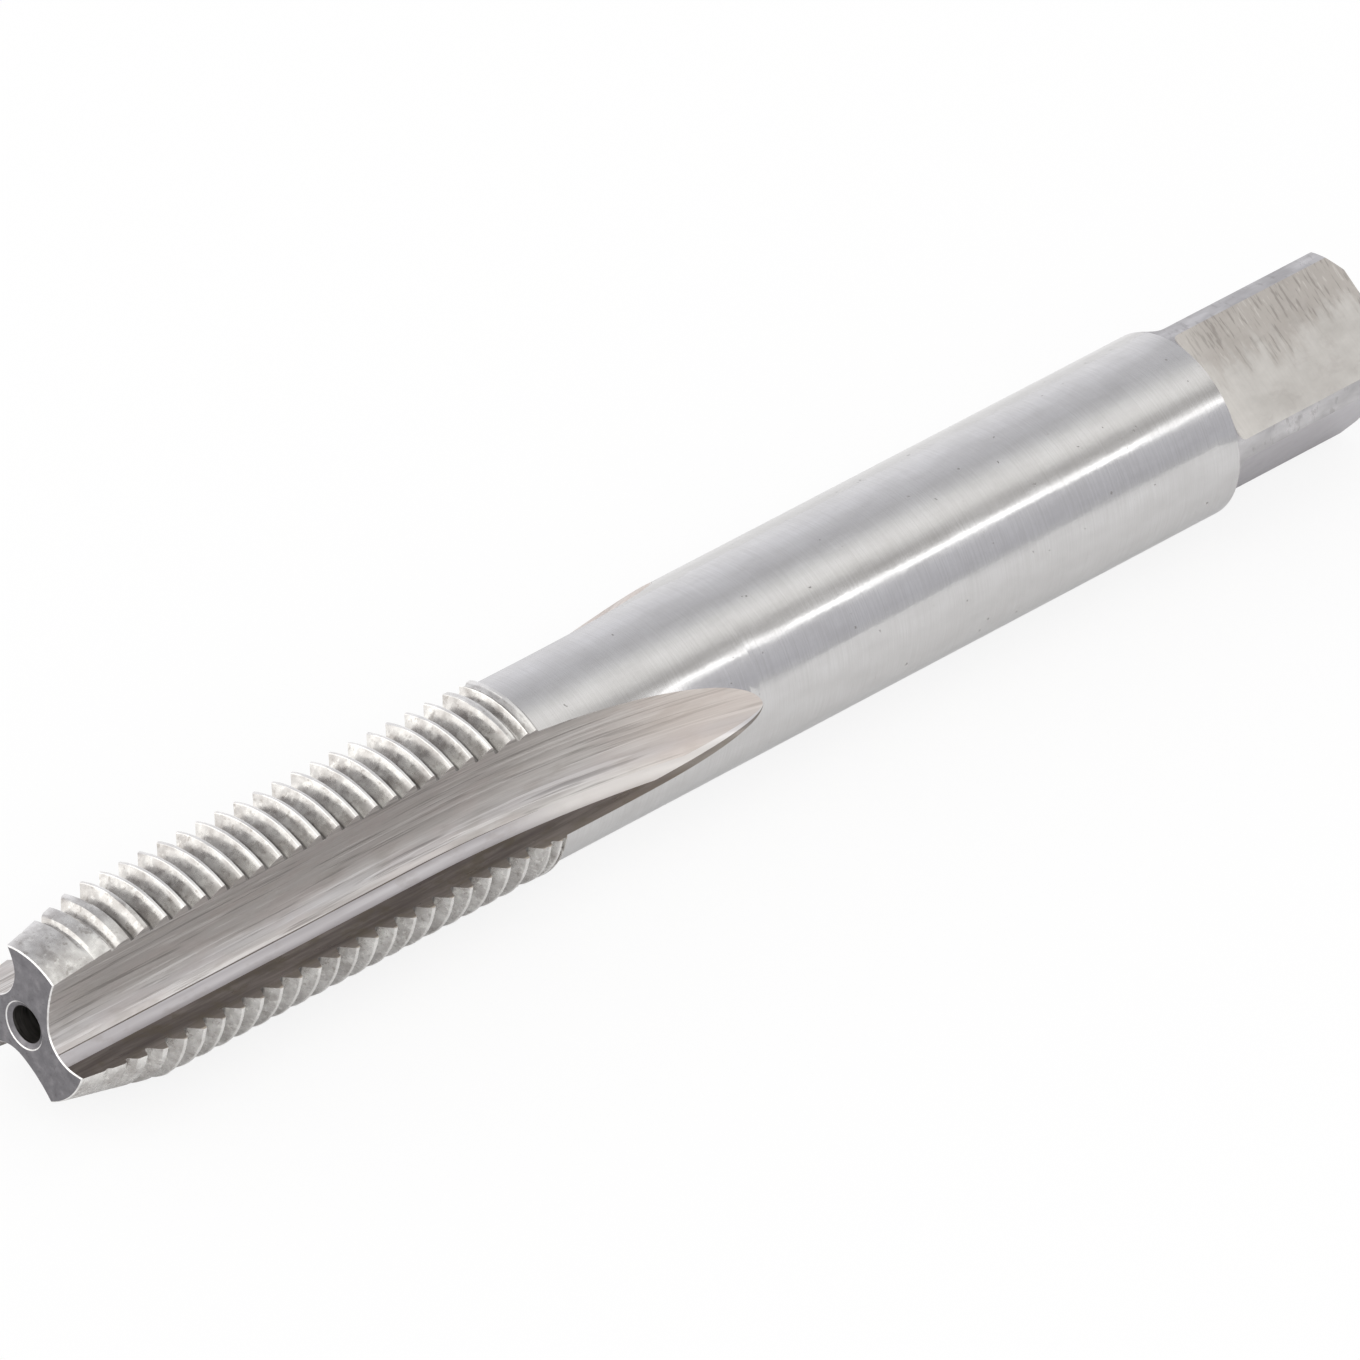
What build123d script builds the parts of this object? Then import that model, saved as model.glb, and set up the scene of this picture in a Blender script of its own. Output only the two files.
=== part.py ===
from build123d import *
from math import acos, asin, atan, atan2, cos, degrees, hypot, radians, sin, sqrt, tan
import os

# Straight-flute hand tap, right-hand thread, three flutes, square drive end.
# Modelled along +Z from the cutting tip at z = 0, with its first flute facing +X, then turned to
# lie as it comes to rest and laid along +X in the row's frame.

# ---- driving dimensions, mm and degrees ----
overall_length = 71.0
shank_diameter = 8.0
square_size = 6.2
square_length = 9.3
end_chamfer = 0.45

thread_diameter = 8.4
thread_pitch = 1.0
thread_depth = 0.65
thread_length = 24.7
thread_phase = 0.124
groove_half_angle = 30.0
crest_flat = 0.125
washout_length = 1.3
washout_limit = 0.9

lead_length = 3.9
lead_tip_diameter = 6.84
lead_relief = 0.22
lead_relief_lag = 60.0

flute_count = 3
flute_runout_end = 35.5
flute_wheel_radius = 55.0
flute_face_lean = 8.0
flute_hook_radius = 4.0

square_roll = 38.8
lying_roll = 172.6
shoulder_radius = 0.5

centre_diameter = 1.6
front_countersink_diameter = 2.1
front_countersink_half_angle = 60.0
rear_countersink_diameter = 3.2
rear_countersink_half_angle = 30.0
centre_depth = 2.8
drill_half_angle = 59.0

# ---- named clearances ----
past = 1.0           # how far a cutter runs past the face it leaves by
groove_over = 0.06   # how far the thread-groove cutter stands above the crests
groove_past = 12.0   # degrees that it runs past a land at each end

# ---- sizes that follow ----
shank_radius = shank_diameter / 2
thread_radius = thread_diameter / 2
root_radius = thread_radius - thread_depth
lead_tip_radius = lead_tip_diameter / 2
flat_distance = square_size / 2
centre_radius = centre_diameter / 2
flute_floor = thread_diameter / 6          # height of the flute's lowest line over the axis
flute_floor_radius = 0.655 * thread_diameter
flute_corner_radius = 0.179 * thread_diameter
flute_offset = -0.072 * thread_diameter    # the lowest line's sideways shift from the axis
lean = radians(flute_face_lean)
corner_x = flute_floor + flute_corner_radius           # middle of the flute's corner arc
floor_x = flute_floor + flute_floor_radius             # middle of its floor arc
hook_over = flute_hook_radius - flute_corner_radius
hook_x = corner_x + hook_over * sin(lean)              # middle of the hooked cutting face
hook_y = flute_offset - hook_over * cos(lean)


def crossing(middle_x, middle_y, radius):
    """The direction of an arc's middle, and the turn from there to where it meets the crests."""
    far = hypot(middle_x, middle_y)
    aim = degrees(atan2(middle_y, middle_x))
    reach = (far ** 2 + thread_radius ** 2 - radius ** 2) / (2 * far * thread_radius)
    return aim, degrees(acos(reach))


def land_limits():
    """The angles from a flute's feed direction to the next land's cutting edge and heel."""
    hook_aim, hook_turn = crossing(hook_x, hook_y, flute_hook_radius)
    floor_aim, floor_turn = crossing(floor_x, flute_offset, flute_floor_radius)
    return hook_aim + hook_turn, floor_aim - floor_turn + 360 / flute_count


land_start, land_end = land_limits()


def on_axis(points):
    """A solid of revolution about Z from an (r, z) outline."""
    outline = Polyline(*points, close=True)
    return revolve(make_face(Plane.XZ * outline), Axis.Z)


def blank():
    """The turned blank: thread land, step, shank and the chamfered rear end."""
    step = abs(thread_radius - shank_radius)
    return on_axis([
        (0, 0),
        (thread_radius, 0),
        (thread_radius, thread_length),
        (shank_radius, thread_length + step),
        (shank_radius, overall_length - end_chamfer),
        (shank_radius - end_chamfer, overall_length),
        (0, overall_length),
    ])


def groove_cutter(span, lift_from, lift_to):
    """A helical groove cutter that turns through span degrees, its floor rising over the root."""
    flare = tan(radians(groove_half_angle))
    depth = thread_depth + groove_over
    low = thread_pitch * (1 - crest_flat) / 2 - thread_depth * flare
    high = low + depth * flare
    height = thread_pitch * span / 360
    path = Helix(
        thread_pitch,
        height,
        root_radius + lift_from,
        cone_angle=degrees(atan((lift_to - lift_from) / height)),
    )
    start = Plane(origin=path @ 0, x_dir=(1, 0, 0), z_dir=path % 0)
    outline = Polyline((0, -low), (depth, -high), (depth, high), (0, low), close=True)
    return sweep(start * make_face(outline), path, is_frenet=True)


def thread_grooves():
    """Every land's share of the helical groove, and the last turn, in which it runs out."""
    half_land = (land_end - land_start) / 2
    middle = (land_start + land_end) / 2
    span = 2 * (half_land + groove_past)
    full = groove_cutter(span, 0, 0)
    grooves = []
    for step in range(int(flute_count * thread_length / thread_pitch)):
        # steps go round the lands and up the helix together
        turn = middle + step * 360 / flute_count
        height = thread_pitch * (thread_phase + turn / 360)
        lift = (height - thread_length + washout_length) / washout_length * thread_depth
        place = Rot(0, 0, turn - span / 2)
        place = Pos(0, 0, height - thread_pitch * span / 720) * place
        if lift <= 0:
            grooves.append(place * full)
        elif lift < washout_limit * thread_depth:
            climb = thread_depth * thread_pitch * span / 720 / washout_length
            grooves.append(place * groove_cutter(span, lift - climb, lift + climb))
    return grooves


def flute_cutter():
    """The space one flute wheel sweeps, fed in along +X, with the cutting face on its +Y side."""
    # points of the section, each by how far its arc has turned from its start
    def on_floor(turn):
        x = floor_x - flute_floor_radius * cos(turn)
        return x, flute_offset - flute_floor_radius * sin(turn)

    def on_corner(turn):
        x = corner_x - flute_corner_radius * cos(turn)
        return x, flute_offset + flute_corner_radius * sin(turn)

    def on_hook(turn):
        return hook_x - flute_hook_radius * sin(turn), hook_y + flute_hook_radius * cos(turn)

    top_x = thread_radius + past
    heel_turn = acos((floor_x - top_x) / flute_floor_radius)
    corner_turn = radians(90) - lean
    hook_turn = asin((hook_x - top_x) / flute_hook_radius)
    section = make_face([
        ThreePointArc(on_floor(heel_turn), on_floor(heel_turn / 2), on_floor(0)),
        ThreePointArc(on_floor(0), on_corner(corner_turn / 2), on_corner(corner_turn)),
        ThreePointArc(on_corner(corner_turn), on_hook((lean + hook_turn) / 2), on_hook(hook_turn)),
        Line(on_hook(hook_turn), on_floor(heel_turn)),
    ])
    rise = shank_radius - flute_floor
    runout = sqrt(2 * flute_wheel_radius * rise - rise ** 2)
    straight = flute_runout_end - runout
    along = extrude(Pos(0, 0, -past) * section, straight + past)
    wheel_axis = Axis((flute_floor + flute_wheel_radius, 0, straight), (0, 1, 0))
    swing = degrees(asin(runout / flute_wheel_radius)) + 8
    lift = revolve(Pos(0, 0, straight) * section, wheel_axis, revolution_arc=swing)
    return along + lift


def lead_cutter():
    """What is ground off one land's lead: all outside a cone set off the axis to relieve the heel."""
    slope = (thread_radius - lead_tip_radius) / lead_length
    land_width = radians(land_end - land_start)
    lag = radians(lead_relief_lag)
    shift = lead_relief / (cos(lag) - cos(land_width + lag))
    base = lead_tip_radius - shift * cos(lag)
    reach = lead_length + 2 * lead_relief / slope
    cone = on_axis([
        (0, -past),
        (base - past * slope, -past),
        (base + reach * slope, reach),
        (0, reach),
    ])
    heading = radians(land_start - lead_relief_lag)
    cone = Pos(shift * cos(heading), shift * sin(heading), 0) * cone
    middle = (land_start + land_end) / 2
    half = 180 / flute_count
    outer = thread_radius + past
    sector = [(0, 0)]
    for turn in (-half, 0, half):
        angle = radians(middle + turn)
        sector.append((outer / cos(radians(half)) * cos(angle), outer / cos(radians(half)) * sin(angle)))
    wedge = extrude(Pos(0, 0, -past) * make_face(Polyline(*sector, close=True)), reach + past)
    return wedge - cone


def flat_cutter():
    """What is milled off for one flat of the square, with a hollow fillet at its shoulder."""
    start = overall_length - square_length
    wide = shank_radius + past
    outline = make_face([
        Line((flat_distance, overall_length + past), (flat_distance, start + shoulder_radius)),
        RadiusArc(
            (flat_distance, start + shoulder_radius),
            (flat_distance + shoulder_radius, start),
            -shoulder_radius,
        ),
        Line((flat_distance + shoulder_radius, start), (wide, start)),
        Line((wide, start), (wide, overall_length + past)),
        Line((wide, overall_length + past), (flat_distance, overall_length + past)),
    ])
    return extrude(Plane.XZ * outline, wide, both=True)


def centre_cutter(countersink_diameter, countersink_half_angle):
    """A centre hole drilled up from z = 0: a conical seat, a pilot and the drill's point."""
    seat = tan(radians(countersink_half_angle))
    rim = countersink_diameter / 2
    return on_axis([
        (0, -past),
        (rim + past * seat, -past),
        (centre_radius, (rim - centre_radius) / seat),
        (centre_radius, centre_depth),
        (0, centre_depth + centre_radius / tan(radians(drill_half_angle))),
    ])


def tap():
    """The whole tool, standing on its cutting tip."""
    body = blank()
    turns = [Rot(0, 0, i * 360 / flute_count) for i in range(flute_count)]
    flute = flute_cutter()
    lead = lead_cutter()
    for turn in turns:
        body -= turn * flute
        body -= turn * lead
    flat = flat_cutter()
    for i in range(4):
        body -= Rot(0, 0, square_roll + i * 90) * flat
    body -= centre_cutter(front_countersink_diameter, front_countersink_half_angle)
    rear = Pos(0, 0, overall_length) * Rot(180, 0, 0)
    body -= rear * centre_cutter(rear_countersink_diameter, rear_countersink_half_angle)
    return body - thread_grooves()


os.makedirs("parts", exist_ok=True)
along_x = Plane(origin=(-overall_length / 2, 0, 0), x_dir=(0, 1, 0), z_dir=(1, 0, 0))
lying = along_x * (Rot(0, 0, lying_roll) * tap())
export_step(Pos(0, 0, -lying.bounding_box().min.Z) * lying, "parts/tap.step")
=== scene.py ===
from functools import cached_property
from math import acos, atan2, cos, degrees, hypot, pi, radians, sin, sqrt, tan

import bmesh
import bpy
import numpy as np
from mathutils import Matrix, Vector


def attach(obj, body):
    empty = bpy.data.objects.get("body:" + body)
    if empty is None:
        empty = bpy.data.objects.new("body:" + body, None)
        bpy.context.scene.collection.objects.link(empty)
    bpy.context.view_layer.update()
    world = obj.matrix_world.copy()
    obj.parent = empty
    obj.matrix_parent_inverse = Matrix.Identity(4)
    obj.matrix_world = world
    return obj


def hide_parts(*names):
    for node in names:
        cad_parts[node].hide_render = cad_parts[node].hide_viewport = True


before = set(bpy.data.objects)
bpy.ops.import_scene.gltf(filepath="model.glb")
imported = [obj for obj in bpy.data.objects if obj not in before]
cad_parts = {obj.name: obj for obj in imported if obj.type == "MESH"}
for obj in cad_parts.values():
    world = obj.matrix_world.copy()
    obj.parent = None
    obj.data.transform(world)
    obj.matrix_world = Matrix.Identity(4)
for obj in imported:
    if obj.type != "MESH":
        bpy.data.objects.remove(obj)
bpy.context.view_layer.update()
scene = bpy.context.scene
scene.view_settings.view_transform = "Standard"

# ---- the tap's sizes, in millimetres and degrees, as in the part's source ----
MM = 0.001
LENGTH = 71.0
SHANK_R = 4.0
END_CHAMFER = 0.45
# thread
DIAMETER = 8.4
CREST_R = DIAMETER / 2
ROOT_R = 3.55
PITCH = 1.0
CREST_FLAT = 0.125
CREST_PHASE = 0.624        # height of a crest at angle 0
FLARE = tan(radians(30))
THREAD_END = 24.7
WASHOUT = 1.3
# lead
LEAD_LENGTH = 3.9
LEAD_TIP_R = 3.42
LEAD_RELIEF = 0.22
LEAD_LAG = 60.0
# flutes: a floor arc, a corner arc and the cutting face's hook, run out on a wheel's arc
FLUTES = 3
FLUTE_END = 35.5
WHEEL_R = 55.0
FLOOR_H = 1.4
FLOOR_R = 0.655 * DIAMETER
FLOOR_Y = -0.072 * DIAMETER
CORNER_R = 0.179 * DIAMETER
FACE_LEAN = 8.0
HOOK_R = 4.0
# drive square
SQUARE_R = 3.1
SQUARE_FROM = 61.7
SHOULDER_R = 0.5
SQUARE_ROLL = 38.8
LYING_ROLL = 172.6
# centre holes
CENTRE_R = 0.8
CENTRE_DEPTH = 2.8
FRONT_RIM_R = 1.05
FRONT_SEAT = 60.0
REAR_RIM_R = 1.6
REAR_SEAT = 30.0
POINT_R = 0.05             # the drill's point ends in a tiny flat
POINT_DEPTH = 0.45

# ---- what only the visual shows, in millimetres ----
SOFT = 0.03                # rounding of the crests' edges
RAGGED = 0.011             # how far crests are worn down in places
ON_CREST = 0.3             # share of the crest in a soft edge from which it is worn
SPLIT_FROM = 1.5           # from this far before the thread's end, its last crests are split
SPLIT_FADE = 0.7           # by a shallow groove, which takes this long to reach its depth
SPLIT_HALF = 0.2
SPLIT_DEPTH = 0.11
EDGE = 0.05                # broken edge round the front face
MITRE = 1.6                # most that the broken edge grows at a corner
HIGHLIGHT_RIM = 0.05                 # width of the front hole's rim, painted bright as a highlight
T_LINE = 1.27              # arc lengths at which the fillet band starts and ends,
T_WALL = 1.86
LINE_SHARE = 0.7           # and the most they may be of the way to a low cutting edge
WALL_SHARE = 0.85
LINE_WIDTH = 0.05          # the dark line between the floor and the fillet band
LINE_END = THREAD_END + 1  # height to which the dark line narrows,
LINE_FADE = 7.0            # from this far before it,
LINE_LEAST = 0.02          # and the share of its width that it keeps
SHARP_ANGLE = 28.0         # degrees between faces from which their edge is drawn sharp

# ---- how finely the mesh is laid out ----
# columns in one flute and the land after it
N_FLOOR, N_FILLET, N_FACE, N_LAND = 14, 4, 6, 20
FLUTE_COLS = N_FLOOR + N_FILLET + N_FACE
SECTOR = FLUTE_COLS + N_LAND
ROUND_COLS = FLUTES * SECTOR
SHANK_COLS = FLUTES * N_LAND
ARC_COLS = 4               # in each of the square's rounded corners
FLAT_COLS = SHANK_COLS // 4 - ARC_COLS
HOLE_COLS = 48
# rows of one turn of the thread, as shares of half a crest, a flank and half a root
CREST_ROWS = (-1, -0.7, -0.3, 0.3, 0.7, 1)
FLANK_ROWS = (0.07, 0.35, 0.7)
ROOT_ROWS = (-1, -0.3, 0.3, 1)
STEP_ROWS = (0.1, 0.2)     # rows down the step behind the thread, in millimetres past it
RUNOUT_FROM = 0.25         # and where the rows of the run-out go on from
RUNOUT_ROWS, SHANK_ROWS, SHOULDER_ROWS, FLAT_ROWS, CHAMFER_ROWS = 40, 24, 6, 12, 4
HALVINGS = 44              # steps of each search by halving
HEEL_FAR, EDGE_FAR = -7.0, 6.0     # arc lengths past any land's heel and cutting edge
TIP_FAR, TIP_STEPS = 0.6, 601      # arc lengths searched for the run-out's tip
ANGLE_SLACK = 1e-6         # degrees
MERGE = 1e-8               # metres within which points are one

# ---- sizes that follow ----
SPACING = 360 / FLUTES
THREAD_DEPTH = CREST_R - ROOT_R
LEAD_SLOPE = (CREST_R - LEAD_TIP_R) / LEAD_LENGTH
RISE = SHANK_R - FLOOR_H
STRAIGHT = FLUTE_END - sqrt(2 * WHEEL_R * RISE - RISE ** 2)
LEAN = radians(FACE_LEAN)
CORNER_LEN = CORNER_R * (radians(90) - LEAN)
HOOK_X = FLOOR_H + CORNER_R + (HOOK_R - CORNER_R) * sin(LEAN)
HOOK_Y = FLOOR_Y - (HOOK_R - CORNER_R) * cos(LEAN)


# ---- the form, worked out on arrays ----

def crossing(x, y, radius):
    """The direction of an arc's middle, and the turn from there to where it meets the crests."""
    far = hypot(x, y)
    reach = (far ** 2 + CREST_R ** 2 - radius ** 2) / (2 * far * CREST_R)
    return degrees(atan2(y, x)), degrees(acos(reach))


def land_limits():
    """Angles of a land's cutting edge and heel from its flute's feed direction."""
    hook_aim, hook_turn = crossing(HOOK_X, HOOK_Y, HOOK_R)
    floor_aim, floor_turn = crossing(FLOOR_H + FLOOR_R, FLOOR_Y, FLOOR_R)
    return hook_aim + hook_turn, floor_aim - floor_turn + SPACING


LAND_START, LAND_END = land_limits()


def flute_profile(t, z):
    """Point of the flute's section at arc length t from its lowest line, at height z."""
    t = np.asarray(t, float)
    floor = np.clip(-t, 0, None) / FLOOR_R
    corner = np.clip(t, 0, CORNER_LEN) / CORNER_R
    hook = LEAN - np.clip(t - CORNER_LEN, 0, None) / HOOK_R
    x = FLOOR_H + np.where(t < 0, FLOOR_R * (1 - np.cos(floor)), CORNER_R * (1 - np.cos(corner)))
    y = FLOOR_Y + np.where(t < 0, -FLOOR_R * np.sin(floor), CORNER_R * np.sin(corner))
    x = np.where(t > CORNER_LEN, HOOK_X - HOOK_R * np.sin(hook), x)
    y = np.where(t > CORNER_LEN, HOOK_Y + HOOK_R * np.cos(hook), y)
    run = np.clip(z - STRAIGHT, 0, None)
    wheel_x = FLOOR_H + WHEEL_R
    return wheel_x - np.sqrt(np.clip((wheel_x - x) ** 2 - run ** 2, 0, None)), y


def runout_tip():
    """Height at which the flute's section leaves the shank, and its last point there."""
    t = np.linspace(0, TIP_FAR, TIP_STEPS)
    low, high = STRAIGHT, FLUTE_END + 1
    for _ in range(HALVINGS):
        z = (low + high) / 2
        if np.hypot(*flute_profile(t, z)).min() < SHANK_R:
            low = z
        else:
            high = z
    x, y = flute_profile(t, low)
    i = int(np.argmin(np.hypot(x, y)))
    return low, t[i], degrees(atan2(y[i], x[i]))


TIP_Z, TIP_T, TIP_THETA = runout_tip()


def lead_radius(theta, z, land):
    """Radius of the relieved lead cone over one land."""
    lag = radians(LEAD_LAG)
    shift = LEAD_RELIEF / (cos(lag) - cos(radians(LAND_END - LAND_START) + lag))
    base = LEAD_TIP_R - shift * cos(lag) + LEAD_SLOPE * z
    turn = np.radians(theta - (LAND_START - LEAD_LAG) - SPACING * land)
    return shift * np.cos(turn) + np.sqrt(base ** 2 - (shift * np.sin(turn)) ** 2)


def raggedness(theta, centre):
    """Uneven wear, from 0 to 2, along the crests beside the groove at height centre."""
    wear = np.sin(theta * 0.61 + centre * 2.3) * np.sin(theta * 0.23 - centre * 4.1)
    wear = wear * np.sin(theta * 1.37 + centre * 7.7) + np.sin(theta * 0.11 + centre * 5.3)
    return np.clip(wear, 0, 2)


def outer_radius(theta, z, land):
    """Radius of a land at angle theta, in degrees, and height z."""
    step = THREAD_END + CREST_R - SHANK_R
    crest = np.interp(z, [THREAD_END, step], [CREST_R, SHANK_R])
    # the groove's floor and flanks, lifted where the thread washes out
    phase = CREST_PHASE + 0.5 + theta / 360
    centre = (np.round(z / PITCH - phase) + phase) * PITCH
    lift = np.clip((centre - THREAD_END + WASHOUT) / WASHOUT, 0, None) * THREAD_DEPTH
    low = PITCH * (1 - CREST_FLAT) / 2 - THREAD_DEPTH * FLARE
    groove = ROOT_R + lift + np.clip(np.abs(z - centre) - low, 0, None) / FLARE
    # crests with soft edges, worn down a little here and there
    blend = np.clip(0.5 + (groove - crest) / (2 * SOFT), 0, 1)
    worn = groove + (crest - groove) * blend - SOFT * blend * (1 - blend)
    worn = worn - RAGGED * raggedness(theta, centre) * (z < THREAD_END) * (blend > ON_CREST)
    # the second groove in the last crests
    ridge = np.abs((z / PITCH - phase) % 1 - 0.5) * PITCH
    deepening = np.clip((z - THREAD_END + SPLIT_FROM) / SPLIT_FADE, 0, 1)
    split = np.clip(1 - (ridge / SPLIT_HALF) ** 2, 0, 1) * deepening
    worn = worn - SPLIT_DEPTH * split * (z < THREAD_END)
    return np.minimum(worn, lead_radius(theta, z, land))


def solve_side(z, far, flute, land):
    """Arc length, between the run-out's tip and far, at which a flute's section meets a land."""
    inner = np.full_like(z, TIP_T)
    outer = np.full_like(z, far)
    for _ in range(HALVINGS):
        mid = (inner + outer) / 2
        x, y = flute_profile(mid, z)
        theta = np.degrees(np.arctan2(y, x))
        inside = np.hypot(x, y) < outer_radius(theta + SPACING * flute, z, land)
        inner = np.where(inside, mid, inner)
        outer = np.where(inside, outer, mid)
    return (inner + outer) / 2


def sector_rows(z, k):
    """Radius and angle of sector k's columns; z has a row a ring and SECTOR + 1 columns."""
    t_heel = solve_side(z[:, 0], HEEL_FAR, k, k - 1)
    t_edge = solve_side(z[:, FLUTE_COLS], EDGE_FAR, k, k)
    line = np.minimum(T_LINE, t_edge * LINE_SHARE)
    wall = np.minimum(T_WALL, t_edge * WALL_SHARE)
    dark_line = line - LINE_WIDTH * np.clip((LINE_END - z[:, 0]) / LINE_FADE, LINE_LEAST, 1)
    t = np.zeros((len(z), FLUTE_COLS + 1))
    for j in range(N_FLOOR):
        t[:, j] = t_heel + (dark_line - t_heel) * j / (N_FLOOR - 1)
    t[:, N_FLOOR] = line
    for j in range(1, N_FILLET + 1):
        t[:, N_FLOOR + j] = line + (wall - line) * j / N_FILLET
    for j in range(1, N_FACE + 1):
        t[:, N_FLOOR + N_FILLET + j] = wall + (t_edge - wall) * j / N_FACE
    x, y = flute_profile(t, z[:, :FLUTE_COLS + 1])
    radius = np.zeros_like(z)
    theta = np.zeros_like(z)
    radius[:, :FLUTE_COLS + 1] = np.hypot(x, y)
    theta[:, :FLUTE_COLS + 1] = np.degrees(np.arctan2(y, x)) + SPACING * k
    # the land runs on to the next flute's heel
    x, y = flute_profile(solve_side(z[:, SECTOR], HEEL_FAR, k + 1, k), z[:, SECTOR])
    heel = np.degrees(np.arctan2(y, x)) + SPACING * (k + 1)
    start = theta[:, FLUTE_COLS]
    for j in range(1, N_LAND + 1):
        col = FLUTE_COLS + j
        theta[:, col] = start + (heel - start) * j / N_LAND
        radius[:, col] = outer_radius(theta[:, col], z[:, col], k)
    return radius, theta


def rings(heights, close=0):
    """Radius and angle of every column at the given heights, an array with one row a ring.

    A ring that follows the helix meets itself higher up, by close.
    """
    radius = np.zeros((len(heights), ROUND_COLS))
    theta = np.zeros((len(heights), ROUND_COLS))
    for k in range(FLUTES):
        cols = np.arange(k * SECTOR, (k + 1) * SECTOR + 1)
        z = heights[:, cols % ROUND_COLS]
        if k == FLUTES - 1 and close:
            z[:, -1] = np.clip(heights[:, 0] + close, EDGE, THREAD_END)
        r, th = sector_rows(z, k)
        radius[:, cols[:-1]] = r[:, :-1]
        theta[:, cols[:-1]] = th[:, :-1]
    return radius, theta


def column_turns():
    """Nominal angle of each column, for the helix of the rows."""
    heel = LAND_END - SPACING
    flute = [heel + (LAND_START - heel) * j / FLUTE_COLS for j in range(FLUTE_COLS + 1)]
    land = [LAND_START + (LAND_END - LAND_START) * j / N_LAND for j in range(1, N_LAND)]
    return np.array([turn + SPACING * k for k in range(FLUTES) for turn in flute + land])


def row_steps():
    """Heights of the rows in one turn of the thread, from a crest up to the next."""
    half_crest = CREST_FLAT / 2
    half_root = (1 - CREST_FLAT) / 2 - THREAD_DEPTH * FLARE / PITCH
    crest = [half_crest * share for share in CREST_ROWS]
    flank = [half_crest + (0.5 - half_root - half_crest) * share for share in FLANK_ROWS]
    root = [0.5 + half_root * share for share in ROOT_ROWS]
    return crest + flank + root + [1 - step for step in reversed(flank)]


def thread_heights(steps):
    """Heights of the threaded length's rows, each clipped between the front edge and the end."""
    # with turns to spare at both ends
    turns = range(-2, int(THREAD_END / PITCH) + 2)
    levels = np.array([turn + step for turn in turns for step in steps]) * PITCH
    heights = levels[:, None] + (CREST_PHASE + column_turns()[None, :] / 360) * PITCH
    first = int(np.argmax(heights.max(axis=1) > EDGE)) - 1
    last = int(np.argmax(heights.min(axis=1) >= THREAD_END)) + 1
    return np.clip(heights[first:last], EDGE, THREAD_END)


# ---- the mesh ----

SHANK, THREAD, FLOOR, FILLET, FACE, TIP, FLAT, BORE, RIM, ARC = range(10)
LAND_COLS = [THREAD] * N_LAND
# one column of the cutting face's dark finish between the floor and the fillet band draws a dark
# line there
LINED = [FLOOR] * (N_FLOOR - 1) + [FACE] + [FILLET] * N_FILLET + [FACE] * N_FACE
UNLINED = [FLOOR] * N_FLOOR + [FILLET] * N_FILLET + [FACE] * N_FACE


class Skin:
    """Collects vertices and faces of the tap's surface."""

    def __init__(self):
        self.verts = []
        self.faces = []
        self.mats = []

    def ring(self, radius, theta, z):
        """Adds one ring of points and returns their numbers."""
        first = len(self.verts)
        turn = np.radians(np.asarray(theta) + LYING_ROLL)
        radius, z = np.broadcast_to(radius, turn.shape), np.broadcast_to(z, turn.shape)
        for r, a, h in zip(radius, turn, z):
            point = (h - LENGTH / 2, r * cos(a), SHANK_R + r * sin(a))
            self.verts.append(tuple(value * MM for value in point))
        return list(range(first, len(self.verts)))

    def face(self, points, mat):
        """Adds one face in that finish."""
        self.faces.append(tuple(points))
        self.mats.append(mat)

    def bridge(self, low, high, mats):
        """Joins two closed rings of the same count; mats is one finish or one a column."""
        n = len(low)
        for j in range(n):
            mat = mats if isinstance(mats, int) else mats[j]
            self.face((low[j], low[(j + 1) % n], high[(j + 1) % n], high[j]), mat)

    def angles(self, ring):
        """Angles of a ring's points round the axis, without the lying roll."""
        points = [self.verts[number] for number in ring]
        turns = [atan2(z / MM - SHANK_R, y / MM) - radians(LYING_ROLL) for _, y, z in points]
        return np.degrees(np.unwrap(turns))


def add_thread(skin):
    """The threaded length, in rows that follow the helix; returns its last ring."""
    steps = row_steps()
    heights = thread_heights(steps)
    radius, theta = rings(heights, PITCH)
    # points clipped to the thread's two ends are the same in every row
    for row, clipped in ((0, heights <= EDGE), (-1, heights >= THREAD_END)):
        radius = np.where(clipped, radius[row], radius)
        theta = np.where(clipped, theta[row], theta)
    grid = [skin.ring(*row) for row in zip(radius, theta, heights)]
    mats = (LINED + LAND_COLS) * FLUTES
    top = len(grid) - 1
    for i in range(top):
        # a row's last column meets the first column one turn up
        low = grid[i] + [grid[min(i + len(steps), top)][0]]
        high = grid[i + 1] + [grid[min(i + len(steps) + 1, top)][0]]
        for j, mat in enumerate(mats):
            skin.face((low[j], low[j + 1], high[j + 1], high[j]), mat)
    add_broken_edge(skin, radius[0], np.radians(theta[0]), grid[0])
    return grid[-1]


def add_broken_edge(skin, radius, turn, ring):
    """The broken edge round the front face: the section there, drawn in by the edge's width."""
    x, y = radius * np.cos(turn), radius * np.sin(turn)
    ahead = np.stack([np.roll(x, -1) - x, np.roll(y, -1) - y])
    ahead = ahead / np.hypot(*ahead)
    behind = np.roll(ahead, 1, axis=1)
    inward = np.stack([-ahead[1] - behind[1], ahead[0] + behind[0]])
    length = np.hypot(*inward)
    x, y = (x, y) + inward / length * np.minimum(2 / length, MITRE) * EDGE
    skin.bridge(skin.ring(np.hypot(x, y), np.degrees(np.arctan2(y, x)), 0), ring, RIM)


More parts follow.
